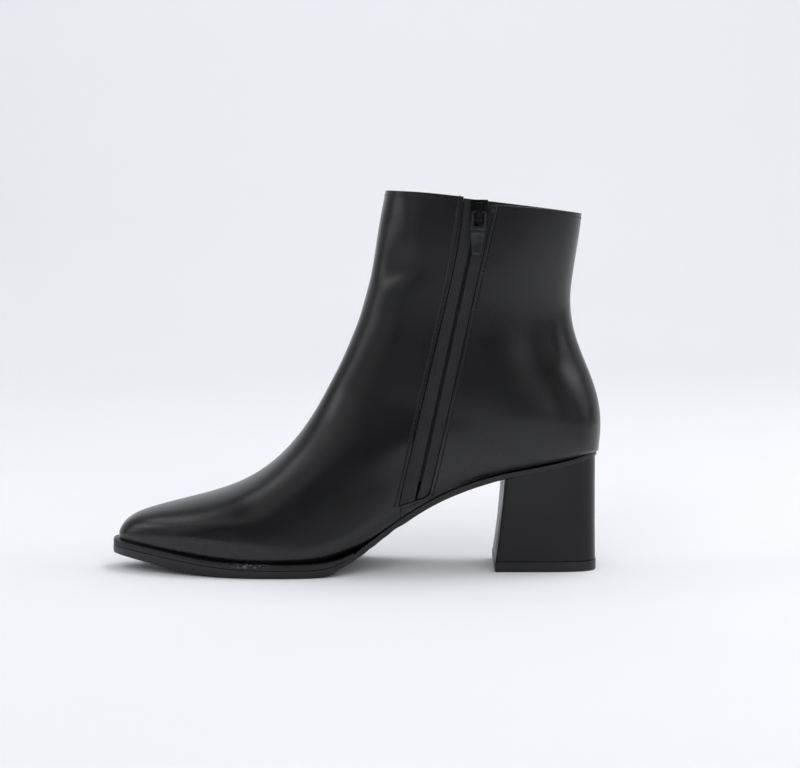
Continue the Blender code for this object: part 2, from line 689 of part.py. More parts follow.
def place_on_origin():
    """Hangs every piece from an empty that brings the middle of the boot over the origin."""
    middle = bpy.data.objects.new("boot_middle", None)
    middle.location = (-MIDDLE_X * MM, -MIDDLE_Y * MM, 0.0)
    for obj in list(bpy.context.scene.objects):
        obj.parent = middle
    bpy.context.scene.collection.objects.link(middle)


def main():
    clear_scene()
    leather, rubber, woven, metal = map(material_of, (LEATHER, RUBBER, WOVEN, METAL))
    make_upper(leather)
    make_outsole(rubber)
    make_insole(material_of(SOCK))
    make_welt(rubber)
    make_heel(leather)
    make_heel_tip(rubber)
    make_tape("zip_tape_front", FRONT_EDGE, TAPE_FRONT_START, GAP, woven)
    make_tape("zip_tape_back", BACK_EDGE, TAPE_BACK_START, -GAP, woven)
    make_chain(metal)
    hinge = hinge_point()
    make_slider(hinge, metal)
    make_pull(hinge, metal)
    place_on_origin()


main()
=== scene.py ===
"""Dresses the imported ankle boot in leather, lining, zip and thread, on a pale studio floor.

The row frame is in metres: X runs from toe to heel, Y from the inner side of the foot to the
outer side, and Z up from the floor. Sizes in the tables below are in millimetres, and those of
the studio in metres.
"""

import json
import math
from collections import namedtuple

import bpy
import numpy as np
from mathutils import Matrix, Vector
from mathutils.bvhtree import BVHTree

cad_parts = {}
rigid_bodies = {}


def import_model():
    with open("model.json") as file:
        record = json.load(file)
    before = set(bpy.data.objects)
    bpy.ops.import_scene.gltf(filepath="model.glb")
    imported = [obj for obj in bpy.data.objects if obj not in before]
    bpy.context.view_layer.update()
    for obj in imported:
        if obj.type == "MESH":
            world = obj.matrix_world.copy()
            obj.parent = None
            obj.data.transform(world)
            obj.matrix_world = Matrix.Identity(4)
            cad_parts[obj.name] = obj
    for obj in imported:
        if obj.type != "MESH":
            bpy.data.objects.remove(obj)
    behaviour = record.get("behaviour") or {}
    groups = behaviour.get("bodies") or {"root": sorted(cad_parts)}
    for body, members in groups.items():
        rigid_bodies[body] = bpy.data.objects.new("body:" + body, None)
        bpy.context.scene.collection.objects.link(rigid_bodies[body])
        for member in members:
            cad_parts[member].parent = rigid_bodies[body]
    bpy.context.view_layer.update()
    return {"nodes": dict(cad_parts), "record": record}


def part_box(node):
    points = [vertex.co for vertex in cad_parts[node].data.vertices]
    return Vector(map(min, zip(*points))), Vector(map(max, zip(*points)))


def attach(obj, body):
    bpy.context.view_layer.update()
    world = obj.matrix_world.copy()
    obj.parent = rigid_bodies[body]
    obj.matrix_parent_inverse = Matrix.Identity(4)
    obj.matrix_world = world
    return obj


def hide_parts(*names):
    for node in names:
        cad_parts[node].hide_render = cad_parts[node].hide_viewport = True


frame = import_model()

bl_info = {
    "name": "Ankle boot dressing",
    "version": (1, 0, 0),
    "blender": (4, 5, 0),
    "location": "View3D > Sidebar > Boot",
    "description": "Leather, lining, zip and stitches for the ankle boot, and its studio",
    "category": "Object",
}

MM = 0.001
BODY, PULL_BODY = "boot", "pull_tab"

# Points nearer than MERGE (in metres) are one, and two triangles within PAIR_DEG of each other
# become a quad. Edges sharper than SHARP_DEG on soft pieces, and HARD_DEG on hard ones, stay and
# are rounded. Within FLAT_DEG, faces are one flat.
MERGE, PAIR_DEG, SHARP_DEG, HARD_DEG, FLAT_DEG = 0.00001, 70.0, 55.0, 40.0, 1.0

# How much of a face's normal lies along an axis when the face looks that way, roughly or squarely.
ROUGHLY, SQUARELY = 0.6, 0.8

# Radii of the edges of all pieces but the upper.
SOLE_EDGE, HEEL_EDGE, INSOLE_EDGE = 0.2, 0.3, 0.4
TAPE_EDGE, ROLL_EDGE, CHAIN_EDGE, SLIDER_EDGE, PULL_EDGE = 0.15, 0.3, 0.1, 0.3, 0.25

# How pieces are drawn together: the room that is left between them, and how far one is drawn at
# most. A surface farther off than NEIGHBOUR isn't reached for.
GLUE_ROOM, GLUE_REACH = 0.03, 0.5
LEATHER_ROOM, SOLE_REACH, SOLE_NEIGHBOUR, WELT_REACH = 0.15, 1.2, 4.0, 2.0
TAPE_ROOM, TAPE_REACH = 0.1, 6.0
NEIGHBOUR = 15.0

# How much the welt's top is raised.
WELT_RISE = 0.6

# The upper: its wall, the largest face of a cut edge (in square mm), the height above which the
# collar's edge lies, half the collar's width, and a distance well outside its sides. An edge that
# is found has at least EDGE_POINTS points.
WALL, CUT_FACE, COLLAR_FROM, COLLAR_HALF, OUTSIDE = 2.0, 40.0, 180.0, 31.0, 200.0
EDGE_POINTS = 5

# The zip's opening as seen from the side: its middle at the collar and at its end, and how far
# from the middle its edges are looked for.
ZIP_TOP = (63.17, 189.0)
ZIP_END = (31.07, 40.0)
ZIP_BESIDE = 12.0

# Near the collar the front edge of the opening turns upright: how far, from which height, and to
# what share of it above the zip. The spread gives places in front of the middle, and their shares.
EDGE_TURN, EDGE_TURN_FROM, EDGE_TURN_MOST = 2.6, 150.0, 1.05
EDGE_TURN_SPREAD = ((1.0, 6.0, 9.0, 24.0), (0.0, 1.0, 1.0, 0.0))

# Soft lines in the leather: from one point on the skin to another, seen from the side.
# side: -1 is the inner side of the foot, 1 the outer, 0 both. depth: into the leather at the
# deepest place, so a ridge has a minus. above, below: how far the line reaches up and down to
# where it has mostly faded. Each line is pressed at CREASE_STEPS places, and its ends are faded.
CREASE_STEPS, CREASE_ENDS = 9, 0.1
Crease = namedtuple("Crease", "name x_from z_from x_to z_to side depth above below")
CREASES = (
    Crease("collar_turn", 15.0, 194.0, 40.0, 191.5, 0, 0.7, 6.0, 4.5),
    Crease("shaft_front", 20.5, 192.0, 17.5, 168.0, 0, 0.9, 10.0, 10.0),
    Crease("ankle_bend", 10.0, 151.0, 28.0, 160.5, 0, 2.3, 15.0, 4.8),
    Crease("instep_bend", -4.0, 128.0, 14.0, 133.0, 0, 0.5, 8.0, 8.0),
    Crease("vamp_bend", -66.0, 42.0, -44.0, 30.0, 0, 0.3, 7.0, 7.0),
    Crease("vamp_swell", -112.0, 20.0, -62.0, 27.0, 0, -1.0, 8.0, 10.0),
    Crease("arch_swell", -8.0, 50.0, 24.0, 70.0, -1, -1.2, 12.0, 12.0),
    Crease("counter_dip", 92.0, 113.0, 116.0, 110.0, 0, 1.2, 16.0, 11.0),
    Crease("counter_back", 111.0, 122.0, 117.0, 86.0, 0, 0.9, 10.0, 10.0),
    Crease("counter_swell", 78.0, 82.0, 118.0, 81.0, 0, -1.0, 11.0, 11.0),
)

# At the zip's lower end, as seen from the side: a short row of thread and a pressed seam. The
# other rows follow the edges of the zip and the collar.
ZIP_CLOSE = ((21.6, 36.2), (25.5, 35.6), (31.0, 36.6), (36.5, 39.6))
SEAM_BELOW_ZIP = ((23.2, 35.4), (22.2, 26.5))
# Half the width of a pressed seam.
LINE_WIDTH = 0.6

# How far a stitch stands out and how thick it is, as shares of the thread's width.
STITCH_OUT, STITCH_THICK = 0.1, 0.8

# The upper end of the back tape, folded over into a small flat roll beside the slider: its middle
# as seen from the side, how far behind that the leather is met, how far it stands out there, and
# its form.
Roll = namedtuple("Roll", "x z behind out radius length flat slant_deg")
TAPE_ROLL = Roll(69.6, 188.0, 2.5, 0.4, 1.4, 2.8, 0.55, 70.0)

# The zip's coil: the radius and thickness of a turn, how far it is flattened, how far inside the
# chain's ends the coil starts and stops, and at how many places its path is read off the chain.
Coil = namedtuple("Coil", "radius wire flat start stop places")
COIL = Coil(1.5, 0.34, 0.55, 2.0, 1.0, 60)

# On the pull's face, a groove under the eye and a shallow panel: how far below the hinge each one
# starts and ends, the rim that is left round it, and its depth.
PullPanel = namedtuple("PullPanel", "start end rim depth")
PULL_PANELS = (PullPanel(9.1, 9.8, 0.1, 0.25), PullPanel(10.9, 20.8, 0.6, 0.22))

# The heel's cover is folded round the edge of the breast: the fold's middle and half width.
HEEL_FOLD, HEEL_FOLD_WIDTH = ((72.6, 5.6), (78.8, 57.0)), 1.3

# Where the sole's edge is rubbed: middle and half size.
SCUFF_AT, SCUFF_SIZE = (-56.0, -44.0, 7.2), (14.0, 12.0, 1.8)

# Soft boxes round the boot. By their height over the floor in degrees, seen from the boot: the
# direction of each one in degrees, from the camera's side towards the heel, and its watts.
SOFTBOX_AIM, SOFTBOX_AWAY, SOFTBOX_SIZE = (0.0, 0.0, 0.08), 1.5, (0.5, 0.45)
SOFTBOXES = {
    12: (
        (30, 0.56), (60, 0.28), (90, 0.62), (120, 0.24), (210, 0.18), (240, 0.14), (270, 0.94),
        (300, 0.32), (330, 0.14),
    ),
    32: ((90, 2.14), (120, 0.3), (270, 1.58), (300, 0.44)),
    52: ((36, 1.18), (108, 1.28), (252, 1.24), (288, 0.6), (324, 0.42)),
    72: ((0, 0.34), (60, 0.74), (120, 4.68)),
}

# Large lights for the floor and the backdrop, which don't show in the leather's gloss: place, the
# way each one looks, size and power in watts.
FloorLight = namedtuple("FloorLight", "name place aim size power")
FLOOR_LIGHTS = (
    FloorLight("back_light", (0.0, 0.9, 2.2), (0.0, 3.52, 0.0), (3.0, 0.6), 22.2),
    FloorLight("front_light", (0.0, -2.2, 1.2), SOFTBOX_AIM, (3.0, 1.6), 35.5),
    FloorLight("side_light", (2.2, 0.0, 1.0), SOFTBOX_AIM, (2.5, 1.6), 6.4),
)

# The paper's width and depth, its middle, how high it rises behind the boot, and its bend.
PAPER_SIZE, PAPER_AT, PAPER_RISE = (9.0, 3.1), (0.0, 0.65), 4.0
PAPER_BEND, PAPER_BEND_STEPS = 1.1, 24

# The room's floor under the paper.
GROUND_SIZE, GROUND_Z = 12.0, -0.003

# What the camera looks at, the width of its sensor in mm, and how near and far it sees.
CAMERA_AIM, CAMERA_SENSOR, CAMERA_CLIP = (0.02237, 0.00345, 0.096), 36.0, (0.05, 30.0)


def to_linear(hex_colour):
    """A hex sRGB colour as linear red, green, blue and alpha."""
    parts = [int(hex_colour[k : k + 2], 16) / 255 for k in (1, 3, 5)]
    return (*(c / 12.92 if c <= 0.04045 else ((c + 0.055) / 1.055) ** 2.4 for c in parts), 1.0)


def colour_property(label, about, hex_colour):
    """A colour that a user may change."""
    return bpy.props.FloatVectorProperty(
        name=label,
        description=about,
        default=to_linear(hex_colour),
        size=4,
        min=0.0,
        max=1.0,
        subtype="COLOR",
    )


def length_property(label, about, size):
    """A length that a user may change, with its default in millimetres."""
    return bpy.props.FloatProperty(
        name=label, description=about, default=size * MM, min=0.0, unit="LENGTH"
    )


def share_property(label, about):
    """How much of what a table gives is used."""
    return bpy.props.FloatProperty(
        name=label, description=about, default=1.0, soft_max=2.0, subtype="FACTOR"
    )


class BootSizes(bpy.types.PropertyGroup):
    """Sizes of what is put on the boot."""

    edge_round: length_property(
        "Leather edge", "Radius of the leather's cut and folded edges", 0.5
    )
    stitch_pitch: length_property("Stitch pitch", "From the start of one stitch to the next", 2.4)
    stitch_length: length_property("Stitch length", "Length of one stitch that shows", 1.7)
    thread: length_property("Thread", "Width of the sewing thread", 0.5)
    stitch_in: length_property(
        "Stitch inset", "From the edge of the leather to the row of stitches", 1.8
    )
    collar_in: length_property(
        "Collar inset", "From the collar's edge down to its row of stitches", 2.4
    )
    slit_more: length_property(
        "Slit", "How far the edge of each tape is drawn back from the slit", 0.3
    )
    coil_pitch: length_property("Coil pitch", "From one turn of the zip's coil to the next", 1.4)
    crease_share: share_property("Creases", "Depth of the soft creases, as a share of the table")


class BootColours(bpy.types.PropertyGroup):
    """Colours of the boot's materials."""

    leather: colour_property("Leather", "Black of the upper and the heel's cover", "#0e0e0f")
    lining: colour_property("Lining", "Lining and sock", "#1c1b1a")
    rubber: colour_property("Sole", "Sole, welt and heel tip", "#111112")
    scuff: colour_property("Scuffs", "Rubbed specks on the sole's edge", "#5d5d61")
    tape: colour_property("Zip tape", "Woven tape of the zip", "#1a1a1c")
    # The coil's near black is partly black nylon's own colour and partly painted shade, drawn
    # darker to stand for the shade in the slit.
    coil: colour_property("Coil", "Nylon coil of the zip", "#070708")
    metal: colour_property("Pull", "Plated pull tab", "#3f4043")
    slider: colour_property("Slider", "Lacquered slider", "#1d1e20")
    thread: colour_property("Thread", "Sewing thread", "#0b0b0c")
    floor: colour_property("Paper", "Paper floor and backdrop", "#f6f7f9")
    ground: colour_property("Ground", "Floor of the room in front of the paper", "#98999d")


class BootStudio(bpy.types.PropertyGroup):
    """Light and camera."""

    soft_share: share_property("Soft boxes", "Power of the soft boxes, as a share of the table")
    floor_share: share_property("Floor lights", "Power of these lights, as a share of the table")
    room: bpy.props.FloatProperty(
        name="Room", description="Brightness of the room around the set", default=0.12, min=0.0
    )
    room_colour: colour_property("Room colour", "Colour of the room around the set", "#eef1f8")
    light_colour: colour_property("Light", "Colour of all the lights", "#fcfcff")
    eye_height: length_property("Eye height", "Height of the camera", 250.0)
    distance: length_property("Distance", "From the boot to the camera", 1600.0)
    lens: bpy.props.FloatProperty(
        name="Lens", description="Focal length of the camera in mm", default=137.87
    )


def pick(piece):
    """Makes a piece the only selected and the active object."""
    bpy.ops.object.select_all(action="DESELECT")
    piece.select_set(True)
    bpy.context.view_layer.objects.active = piece


def edit(piece, kind, action="DESELECT"):
    """Goes into edit mode on a piece with all or nothing selected. kind: VERT, EDGE or FACE."""
    pick(piece)
    bpy.ops.object.mode_set(mode="EDIT")
    bpy.ops.mesh.select_mode(type=kind)
    bpy.ops.mesh.select_all(action=action)


def leave():
    """Goes back to object mode."""
    bpy.ops.object.mode_set(mode="OBJECT")


def select_faces(piece, test):
    """Goes into edit mode with the faces selected that pass a test."""
    edit(piece, "FACE")
    leave()
    for face in piece.data.polygons:
        face.select = test(face)
    bpy.ops.object.mode_set(mode="EDIT")


def apply(piece, kind, **settings):
    """Adds a modifier to a piece and applies it."""
    modifier = piece.modifiers.new(kind.lower(), kind)
    for name, value in settings.items():
        setattr(modifier, name, value)
    pick(piece)
    bpy.ops.object.modifier_apply(modifier=modifier.name)


def start_from(primitive, **settings):
    """Adds a primitive to shape a piece from, with nothing else selected."""
    bpy.ops.object.select_all(action="DESELECT")
    primitive(**settings)
    return bpy.context.view_layer.objects.active


def copy_of(node, name):
    """A new piece from a CAD node's mesh: its loose triangles merged, then paired into quads."""
    piece = bpy.data.objects.new(name, frame["nodes"][node].data.copy())
    bpy.context.scene.collection.objects.link(piece)
    piece.data.name = name
    piece.data.materials.clear()
    edit(piece, "VERT", "SELECT")
    bpy.ops.mesh.remove_doubles(threshold=MERGE)
    pair = math.radians(PAIR_DEG)
    bpy.ops.mesh.tris_convert_to_quads(face_threshold=pair, shape_threshold=pair)
    bpy.ops.mesh.customdata_custom_splitnormals_clear()
    leave()
    return piece


def keep_sharp(piece, degrees=SHARP_DEG):
    """Marks and creases the sharp edges, so that subdivision leaves them in place."""
    edit(piece, "EDGE")
    bpy.ops.mesh.edges_select_sharp(sharpness=math.radians(degrees))
    bpy.ops.mesh.mark_sharp()
    bpy.ops.transform.edge_crease(value=1.0)
    leave()


def round_off(piece, width, degrees=SHARP_DEG, segments=2):
    """Rounds what is still sharp and shades the piece smooth."""
    apply(
        piece,
        "BEVEL",
        width=width,
        segments=segments,
        limit_method="ANGLE",
        angle_limit=math.radians(degrees),
        use_clamp_overlap=True,
    )
    pick(piece)
    bpy.ops.object.shade_smooth_by_angle(angle=math.radians(degrees))


def refine(piece, levels, edge, degrees=SHARP_DEG):
    """Makes a copy of a CAD node finer, with the same form and rounded edges."""
    keep_sharp(piece, degrees)
    apply(piece, "SUBSURF", levels=levels, render_levels=levels)
    round_off(piece, edge, degrees)
    return piece


def settle(piece, material, nodes=(), body=BODY):
    """Gives a finished piece its material, the nodes that it stands for and its body."""
    if not piece.data.materials:
        piece.data.materials.append(material)
    if nodes:
        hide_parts(*nodes)
    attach(piece, body)


def region(piece, seed):
    """Which faces can be reached from one face without crossing a sharp edge."""
    select_faces(piece, lambda face: face.index == seed)
    bpy.ops.mesh.select_linked(delimit={"SHARP"})
    leave()
    return np.array([face.select for face in piece.data.polygons])


def vertices_of(piece):
    """A piece's points as an array, in metres."""
    points = np.empty(len(piece.data.vertices) * 3, np.float32)
    piece.data.vertices.foreach_get("co", points)
    return points.reshape(-1, 3).astype(float)


def tree_of(piece):
    """A search tree over a piece's faces."""
    return BVHTree.FromPolygons(
        [v.co for v in piece.data.vertices], [f.vertices[:] for f in piece.data.polygons]
    )


def from_side(tree, x, z, side=-1):
    """Where a line across the foot first meets a piece, and which way the piece faces there."""
    start = Vector((x, side * OUTSIDE * MM, z))
    place, normal, _, _ = tree.ray_cast(start, Vector((0, -side, 0)))
    return place, normal


def facing(piece, test):
    """The points of the faces that pass a test, each with the way that those faces look."""
    ways = {}
    for face in piece.data.polygons:
        if test(face):
            for v in face.vertices:
                ways[v] = ways.get(v, Vector()) + face.normal
    return ways


def reach(piece, ways, tree, room, limit, within=NEIGHBOUR):
    """Moves points on, as far as a limit, until they nearly meet a surface that is close by.

    room, limit, within: in millimetres.
    """
    for v, way in ways.items():
        way = way.normalized()
        point = piece.data.vertices[v]
        place, _, _, away = tree.ray_cast(point.co, way, within * MM)
        if place is not None:
            point.co += way * max(0.0, min(limit * MM, away - room * MM))
    piece.data.update()


def zip_x(z):
    """Where the middle of the zip's opening lies along the foot at a height, in metres."""
    lean = (ZIP_TOP[0] - ZIP_END[0]) / (ZIP_TOP[1] - ZIP_END[1])
    return ZIP_END[0] * MM + lean * (z - ZIP_END[1] * MM)


def spaced(path, pitch):
    """Points at an even pitch along a path."""
    path = np.array(path)
    run = np.concatenate(([0.0], np.cumsum(np.linalg.norm(np.diff(path, axis=0), axis=1))))
    at = np.linspace(0, run[-1], max(2, round(run[-1] / pitch) + 1))
    return np.column_stack([np.interp(at, run, path[:, axis]) for axis in range(path.shape[1])])


def copies(base, name, places):
    """One object of copies of a base piece. places: middle, direction along, direction outward."""
    made = []
    for middle, along, out in places:
        along = Vector(along).normalized()
        across = Vector(out).cross(along).normalized()
        out = along.cross(across)
        copy = base.copy()
        copy.data = base.data.copy()
        turn = Matrix((along, across, out)).transposed().to_4x4()
        copy.matrix_world = Matrix.Translation(Vector(middle)) @ turn
        bpy.context.scene.collection.objects.link(copy)
        made.append(copy)
    bpy.ops.object.select_all(action="DESELECT")
    for copy in made:
        copy.select_set(True)
    bpy.context.view_layer.objects.active = made[0]
    bpy.ops.object.join()
    bpy.ops.object.transform_apply(location=True, rotation=True, scale=True)
    joined = bpy.context.view_layer.objects.active
    joined.name = name
    joined.data.name = name
    bpy.data.objects.remove(base)
    return joined


def add(tree, kind, inputs=(), **settings):
    """Adds a node: its settings by name, its inputs by name or number, each a value or a link."""
    made = tree.nodes.new(kind)
    for name, value in settings.items():
        setattr(made, name, value)
    for name, value in dict(inputs).items():
        if isinstance(value, bpy.types.NodeSocket):
            tree.links.new(value, made.inputs[name])
        else:
            made.inputs[name].default_value = value
    return made


def new_material(name):
    """An empty material: itself, its node tree, its shader and the place on the piece."""
    material = bpy.data.materials.new(name)
    material.use_nodes = True
    tree = material.node_tree
    place = add(tree, "ShaderNodeTexCoord").outputs["Object"]
    return material, tree, tree.nodes["Principled BSDF"], place


def finish_material(tree, shader, sockets, values=()):
    """Links what varies over the surface to the shader, and sets what doesn't."""
    for name, made in dict(sockets).items():
        tree.links.new(made, shader.inputs[name])
    for name, value in dict(values).items():
        shader.inputs[name].default_value = value


def per_mm(size):
    """A pattern's scale on Object coordinates, from the size in mm of one repeat."""
    return 1.0 / (size * MM)


def spread(pattern, low, high, dark=0.3, light=0.7):
    """What to put into a Map Range node, so that a pattern runs from one value to another."""
    return {"Value": pattern, "From Min": dark, "From Max": light, "To Min": low, "To Max": high}


# The colour sockets of a Mix node, whose names it also gives to its other sockets.
MIX_A, MIX_B, MIX_RESULT = 6, 7, 2


def varied(tree, colour, pattern, low, high):
    """A colour made darker and lighter by a pattern."""
    tone = add(tree, "ShaderNodeMapRange", spread(pattern, low, high)).outputs["Result"]
    tint = {"Factor": 1.0, MIX_A: colour, MIX_B: tone}
    mixed = add(tree, "ShaderNodeMix", tint, data_type="RGBA", blend_type="MULTIPLY")
    return mixed.outputs[MIX_RESULT]


def pressed_line(places, width):
    """A line for pressed_lines, in metres, from a table's two places and width."""
    return (*([c * MM for c in place] for place in places), width * MM)


def pressed_lines(tree, place, lines):
    """How deep the leather is pressed along straight lines on the inner side: 0 to 1.

    lines: from, to (both as seen from the side) and half the width.
    """
    depth = 0.0
    inner = add(tree, "ShaderNodeSeparateXYZ", {0: place}).outputs["Y"]
    for (x_from, z_from), (x_to, z_to), width in lines:
        along = Vector((x_to - x_from, 0.0, z_to - z_from))
        length = along.length
        along.normalize()
        start = (x_from, 0.0, z_from)
        offset = add(
            tree, "ShaderNodeVectorMath", {0: place, 1: start}, operation="SUBTRACT"
        ).outputs[0]
        parts = {}
        for name, way in (("along", along), ("across", Vector((along.z, 0.0, -along.x)))):
            parts[name] = add(
                tree, "ShaderNodeVectorMath", {0: offset, 1: way}, operation="DOT_PRODUCT"
            ).outputs["Value"]
        away = add(tree, "ShaderNodeMath", {0: parts["across"]}, operation="ABSOLUTE").outputs[0]
        fade = spread(away, 1.0, 0.0, 0.0, width)
        near = add(tree, "ShaderNodeMapRange", fade).outputs["Result"]
        middle = {0: parts["along"], 1: length / 2, 2: length / 2}
        on_line = add(tree, "ShaderNodeMath", middle, operation="COMPARE").outputs[0]
        line = add(tree, "ShaderNodeMath", {0: near, 1: on_line}, operation="MULTIPLY").outputs[0]
        depth = add(tree, "ShaderNodeMath", {0: line, 1: depth}, operation="MAXIMUM").outputs[0]
    side = add(tree, "ShaderNodeMath", {0: inner, 1: 0.0}, operation="LESS_THAN").outputs[0]
    return add(tree, "ShaderNodeMath", {0: depth, 1: side}, operation="MULTIPLY").outputs[0]


def leather_material(name, colour, roughness, grain, lines=(), gloss=0.5):
    """Smooth finished calf: dyed through, waxed, with a fine pore grain and a soft sheen."""
    material, tree, shader, place = new_material(name)
    cloud = add(
        tree,
        "ShaderNodeTexNoise",
        {"Vector": place, "Scale": per_mm(26), "Detail": 3.0, "Roughness": 0.55},
    ).outputs["Fac"]
    swell = add(
        tree, "ShaderNodeTexNoise", {"Vector": place, "Scale": per_mm(9), "Detail": 2.0}
    ).outputs["Fac"]
    # Pores are about 0.3 mm apart: drawn at 0.9 mm, since finer ones fall between the pixels.
    pores = add(
        tree, "ShaderNodeTexVoronoi", {"Vector": place, "Scale": per_mm(0.9)}, feature="SMOOTH_F1"
    ).outputs["Distance"]
    normal = add(
        tree, "ShaderNodeBump", {"Height": swell, "Strength": 0.10, "Distance": 0.6 * MM}
    ).outputs["Normal"]
    normal = add(
        tree,
        "ShaderNodeBump",
        {"Height": pores, "Strength": grain, "Distance": 0.12 * MM, "Normal": normal},
    ).outputs["Normal"]
    dull = spread(cloud, roughness - 0.03, roughness + 0.04)
    dullness = add(tree, "ShaderNodeMapRange", dull).outputs["Result"]
    if lines:
        pressed = pressed_lines(tree, place, lines)
        dull = spread(pressed, 0.0, 0.8, 0.0, 1.0)
        dull_line = add(tree, "ShaderNodeMapRange", dull).outputs["Result"]
        dullness = add(
            tree, "ShaderNodeMath", {0: dullness, 1: dull_line}, operation="MAXIMUM"
        ).outputs[0]
        normal = add(
            tree,
            "ShaderNodeBump",
            {"Height": pressed, "Strength": 1.0, "Distance": 0.35 * MM, "Normal": normal},
            invert=True,
        ).outputs["Normal"]
    finish_material(
        tree,
        shader,
        {
            "Base Color": varied(tree, colour, cloud, 0.86, 1.14),
            "Roughness": dullness,
            "Normal": normal,
        },
        {"IOR": 1.5, "Specular IOR Level": gloss},
    )
    return material


def rubber_material(name, colour, scuff):
    """Moulded synthetic rubber: even black, satin, a faint mould texture and rubbed specks."""
    material, tree, shader, place = new_material(name)
    cloud = add(
        tree,
        "ShaderNodeTexNoise",
        {"Vector": place, "Scale": per_mm(5), "Detail": 4.0, "Roughness": 0.6},
    ).outputs["Fac"]
    # The mould's grit is about 0.1 mm: drawn at 0.8 mm to show.
    grit = add(
        tree, "ShaderNodeTexNoise", {"Vector": place, "Scale": per_mm(0.8), "Detail": 2.0}
    ).outputs["Fac"]
    bump = add(tree, "ShaderNodeBump", {"Height": grit, "Strength": 0.12, "Distance": 0.1 * MM})
    # The specks lie inside a flat oval, and fade towards its border.
    middle = [c * MM for c in SCUFF_AT]
    halves = [1 / (c * MM) for c in SCUFF_SIZE]
    offset = add(
        tree, "ShaderNodeVectorMath", {0: place, 1: middle}, operation="SUBTRACT"
    ).outputs[0]
    inside = add(
        tree, "ShaderNodeVectorMath", {0: offset, 1: halves}, operation="MULTIPLY"
    ).outputs[0]
    away = add(tree, "ShaderNodeVectorMath", {0: inside}, operation="LENGTH").outputs["Value"]
    specks = add(
        tree,
        "ShaderNodeTexNoise",
        {"Vector": place, "Scale": per_mm(1.6), "Detail": 3.0, "Roughness": 0.7},
    ).outputs["Fac"]
    speck = add(tree, "ShaderNodeMapRange", spread(specks, 0.0, 1.0, 0.52, 0.6)).outputs["Result"]
    oval = add(tree, "ShaderNodeMapRange", spread(away, 1.0, 0.0, 0.6, 1.0)).outputs["Result"]
    rubbed = add(tree, "ShaderNodeMath", {0: speck, 1: oval}, operation="MULTIPLY").outputs[0]
    tint = {"Factor": rubbed, MIX_A: varied(tree, colour, cloud, 0.85, 1.2), MIX_B: scuff}
    mixed = add(tree, "ShaderNodeMix", tint, data_type="RGBA")
    satin = add(tree, "ShaderNodeMapRange", spread(cloud, 0.36, 0.5))
    finish_material(
        tree,
        shader,
        {
            "Base Color": mixed.outputs[MIX_RESULT],
            "Roughness": satin.outputs["Result"],
            "Normal": bump.outputs["Normal"],
        },
    )
    return material


def tape_material(name, colour):
    """Woven polyester tape: ribs along the zip, a finer weft across, dull with a little sheen."""
    material, tree, shader, place = new_material(name)
    lean = math.atan2(ZIP_TOP[0] - ZIP_END[0], ZIP_TOP[1] - ZIP_END[1])
    along = add(
        tree, "ShaderNodeMapping", {"Vector": place, "Rotation": (0.0, -lean, 0.0)}
    ).outputs[0]
    # Warp threads are about 0.6 mm apart and the weft is finer: drawn at 1.1 and 0.9 mm to show.
    # A wave texture repeats 20 / tau times over one unit of its scaled coordinates.
    threads = []
    for size, way in ((1.1, "X"), (0.9, "Z")):
        scale = per_mm(size) * math.tau / 20
        waves = add(
            tree,
            "ShaderNodeTexWave",
            {"Vector": along, "Scale": scale, "Distortion": 0.8, "Detail": 1.0},
            wave_type="BANDS",
            bands_direction=way,
        )
        threads.append(waves.outputs["Fac"])
    weave = add(tree, "ShaderNodeMath", dict(enumerate(threads)), operation="MULTIPLY").outputs[0]
    bump = add(tree, "ShaderNodeBump", {"Height": weave, "Strength": 0.7, "Distance": 0.2 * MM})
    finish_material(
        tree,
        shader,
        {"Base Color": varied(tree, colour, weave, 0.55, 1.6), "Normal": bump.outputs["Normal"]},
        {"Roughness": 0.6, "Sheen Weight": 0.04},
    )
    return material


def thread_material(name, colour, roughness):
    """Twisted, waxed polyester thread or nylon coil: close to black, with fine twisted strands."""
    material, tree, shader, place = new_material(name)
    # Strands are about 0.1 mm wide: drawn at 0.4 mm to show.
    twist = add(
        tree, "ShaderNodeTexNoise", {"Vector": place, "Scale": per_mm(0.4), "Detail": 2.0}
    ).outputs["Fac"]
    finish_material(
        tree,
        shader,
        {"Base Color": varied(tree, colour, twist, 0.8, 1.3)},
        {"Roughness": roughness},
    )
    return material


def plated_material(name, colour):
    """Die-cast zinc, plated or lacquered black: satin metal, brighter where it has been rubbed."""
    material, tree, shader, place = new_material(name)
    rub = add(
        tree,
        "ShaderNodeTexNoise",
        {"Vector": place, "Scale": per_mm(2.5), "Detail": 4.0, "Roughness": 0.65},
    ).outputs["Fac"]
    satin = add(tree, "ShaderNodeMapRange", spread(rub, 0.44, 0.32))
    finish_material(
        tree,
        shader,
        {
            "Base Color": varied(tree, colour, rub, 0.85, 1.35),
            "Roughness": satin.outputs["Result"],
        },
        {"Metallic": 0.9},
    )
    return material


def floor_material(name, colour):
    """Seamless paper or a painted floor: matt, with a barely seen mottle."""
    material, tree, shader, place = new_material(name)
    cloud = add(
        tree, "ShaderNodeTexNoise", {"Vector": place, "Scale": per_mm(300), "Detail": 2.0}
    ).outputs["Fac"]
    finish_material(
        tree,
        shader,
        {"Base Color": varied(tree, colour, cloud, 0.99, 1.0)},
        {"Roughness": 0.9, "Specular IOR Level": 0.1},
    )
    return material


# What one operator finds and others need: search trees, and the edges of the zip and the collar.
found = {}


def edge_of_skin(piece, outer, test):
    """Points where the outside of the upper meets its cut edges, at the faces that pass a test."""
    skin = {v for face, out in zip(piece.data.polygons, outer) if out for v in face.vertices}
    points = {}
    for face, out in zip(piece.data.polygons, outer):
        if out or face.area > CUT_FACE * MM * MM or not test(face):
            continue
        for v in face.vertices:
            if v in skin:
                points[v] = piece.data.vertices[v].co.copy()
    return list(points.values())


